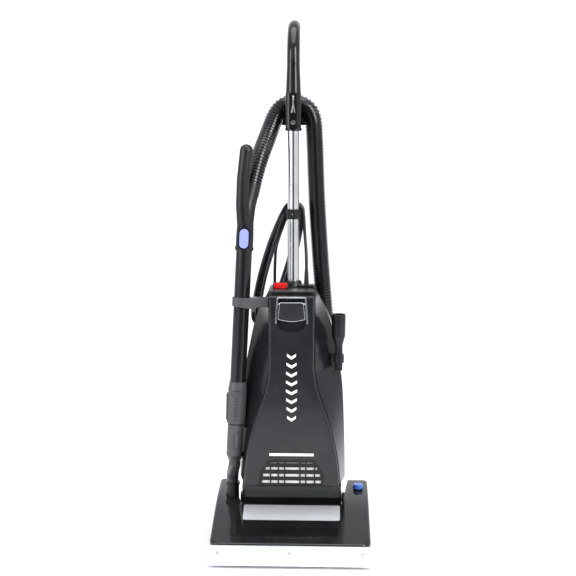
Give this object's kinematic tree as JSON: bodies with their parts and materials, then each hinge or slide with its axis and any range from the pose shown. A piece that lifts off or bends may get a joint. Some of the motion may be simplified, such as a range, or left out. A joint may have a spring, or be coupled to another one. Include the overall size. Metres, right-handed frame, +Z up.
{
  "type": "upright vacuum cleaner",
  "caption": "Upright vacuum cleaner with a reclining bag housing, lift-off suction wand on a ribbed hose, cord hooks, crevice tool, wheeled nozzle base with headlight and brush roll",
  "frame": {"origin": "on the floor, under the centre of the whole machine's footprint", "axes": "+X to the right seen from the front, -Y out of the front of the nozzle, +Z up along the handle"},
  "size_m": [0.348, 0.38, 1.146],
  "materials": {
    "cover_black": "gloss, fine texture",
    "bumper_silver": "satin silver",
    "black_gloss": "polished",
    "black_satin": "fine satin",
    "housing_dark": "semi-gloss, lighter towards the foot",
    "door_dark": "black above, mid grey below",
    "grey_plastic": "satin",
    "tube_bright": "polished",
    "wand_bright": "bright",
    "chrome_latch": "polished",
    "lens_clear": "clear",
    "lamp_mirror": "metallised",
    "hose_rib": "ribbed vinyl",
    "hose_grey": "ribbed vinyl",
    "cord_vinyl": "soft vinyl",
    "tyre_black": "moulded",
    "rubber_black": "moulded",
    "knob_blue": "semi-gloss",
    "button_lilac": "semi-gloss",
    "switch_red": "gloss",
    "steel": "turned",
    "motor_alu": "cast",
    "winding": "laminations and windings",
    "filter_white": "pleated felt",
    "bag_paper": "paper cloth",
    "bristle": "nylon tufts"
  },
  "bodies": {
    "base": {"base_cover": "cover_black", "headlight_bezel": "black_gloss", "headlight_lens": "lens_clear", "headlight_lamp": "lamp_mirror", "chassis_tray": "black_satin", "soleplate": "steel", "bumper": "bumper_silver", "bumper_screws": "steel", "brush_bearings": "grey_plastic", "drive_belt": "rubber_black", "steel_pins": "steel", "nozzle_elbow": "black_satin", "nozzle_hose": "hose_grey"},
    "upright": {"rear_housing": "housing_dark", "motor_hood": "black_gloss", "pivot_bushes": "grey_plastic", "motor_can": "motor_alu", "motor_stator": "winding", "handle_tube": "tube_bright", "handle_collar": "black_gloss", "handle_grip": "black_gloss", "top_cap": "black_satin", "hook_mounts": "black_satin", "strain_relief": "rubber_black", "filter_bag": "bag_paper", "hose_port": "black_satin", "wand_socket": "grey_plastic", "wand_clip": "grey_plastic", "tool_holder": "black_satin", "suction_hose": "hose_rib", "cord_coil": "cord_vinyl", "cord_lead": "cord_vinyl", "cord_tail": "cord_vinyl", "power_plug": "cord_vinyl", "upright_screws": "steel"},
    "motor_spindle": {"motor_rotor": "winding", "motor_fan": "grey_plastic"},
    "brush_roll": {"brush_core": "black_satin", "brush_bristles": "bristle"},
    "wheel_left": {"rear_wheel_left": "tyre_black"},
    "wheel_right": {"rear_wheel_right": "tyre_black"},
    "carriage": {"front_carriage": "black_satin"},
    "rollers": {"front_rollers": "grey_plastic"},
    "knob": {"height_knob": "knob_blue"},
    "pedal": {"release_pedal": "black_satin"},
    "bag_door": {"door_shell": "door_dark", "vent_grille": "black_satin", "exhaust_filter": "filter_white", "door_seal": "rubber_black"},
    "latch": {"door_latch": "chrome_latch"},
    "rocker": {"power_switch": "switch_red"},
    "upper_hook": {"cord_hook_upper": "black_satin"},
    "wand": {"wand_tube": "wand_bright", "wand_lock": "grey_plastic", "wand_handle": "black_satin"},
    "inner_tube": {"wand_inner_tube": "wand_bright"},
    "button": {"wand_button": "button_lilac"},
    "swivel": {"hose_swivel": "black_satin"},
    "tool": {"crevice_tool": "black_satin"}
  },
  "joints": [
    {"name": "recline", "type": "hinge", "parent": "base", "child": "upright", "pos_m": [0, 0.052, 0.078], "axis": [-1, 0, 0], "range_deg": [0, 75], "deforming": ["nozzle_hose"]},
    {"name": "motor_spin", "type": "hinge", "parent": "upright", "child": "motor_spindle", "pos_m": [0, 0.052, 0.078], "axis": [1, 0, 0], "continuous": true},
    {"name": "brush_spin", "type": "hinge", "parent": "base", "child": "brush_roll", "pos_m": [0, -0.134, 0.025], "axis": [1, 0, 0], "continuous": true},
    {"name": "wheel_left_spin", "type": "hinge", "parent": "base", "child": "wheel_left", "pos_m": [-0.151, 0.088, 0.028], "axis": [1, 0, 0], "continuous": true},
    {"name": "wheel_right_spin", "type": "hinge", "parent": "base", "child": "wheel_right", "pos_m": [0.151, 0.088, 0.028], "axis": [1, 0, 0], "continuous": true},
    {"name": "carriage_tilt", "type": "hinge", "parent": "base", "child": "carriage", "pos_m": [0, -0.05, 0.015], "axis": [1, 0, 0], "range_deg": [0, 6]},
    {"name": "roller_spin", "type": "hinge", "parent": "carriage", "child": "rollers", "pos_m": [0, -0.084, 0.009], "axis": [1, 0, 0], "continuous": true},
    {"name": "height_turn", "type": "hinge", "parent": "base", "child": "knob", "pos_m": [0.147, 0.06, 0.1], "axis": [0, 0, 1], "range_deg": [0, 270]},
    {"name": "pedal_press", "type": "hinge", "parent": "base", "child": "pedal", "pos_m": [-0.084, 0.109, 0.03], "axis": [-1, 0, 0], "range_deg": [0, 12], "stiffness_Nm_per_rad": 0.4, "springref_deg": -11.46},
    {"name": "door_hinge", "type": "hinge", "parent": "upright", "child": "bag_door", "pos_m": [0, -0.052, 0.1415], "axis": [1, 0, 0], "range_deg": [0, 50]},
    {"name": "latch_pull", "type": "hinge", "parent": "bag_door", "child": "latch", "pos_m": [0, -0.054, 0.539], "axis": [-1, 0, 0], "range_deg": [0, 20], "stiffness_Nm_per_rad": 0.05, "springref_deg": -11.46},
    {"name": "switch_rock", "type": "hinge", "parent": "upright", "child": "rocker", "pos_m": [-0.0265, 0.0215, 0.566], "axis": [1, 0, 0], "range_deg": [0, 12]},
    {"name": "cord_hook_swivel", "type": "hinge", "parent": "upright", "child": "upper_hook", "pos_m": [-0.001, 0.09, 0.722], "axis": [0, 1, 0], "range_deg": [0, 180]},
    {"name": "wand_lift", "type": "slide", "parent": "upright", "child": "wand", "axis": [0.0523, 0, 0.9986], "range_m": [0, 0.11], "deforming": ["suction_hose"]},
    {"name": "wand_telescope", "type": "slide", "parent": "wand", "child": "inner_tube", "axis": [0.0523, 0, 0.9986], "range_m": [0, 0.07]},
    {"name": "wand_button_press", "type": "slide", "parent": "wand", "child": "button", "axis": [0, 1, 0], "range_m": [0, 0.0025], "stiffness_N_per_m": 400, "springref_m": -0.002},
    {"name": "hose_swivel_turn", "type": "hinge", "parent": "wand", "child": "swivel", "pos_m": [-0.09234, 0.015, 0.7675], "axis": [0.2024, 0.3469, 0.9158], "continuous": true},
    {"name": "tool_lift", "type": "slide", "parent": "upright", "child": "tool", "axis": [0, 0, 1], "range_m": [0, 0.12]}
  ],
  "couplings": [
    {"joint": "brush_spin", "follows": "motor_spin", "ratio": 0.35714},
    {"joint": "carriage_tilt", "follows": "height_turn", "ratio": 0.022222}
  ]
}
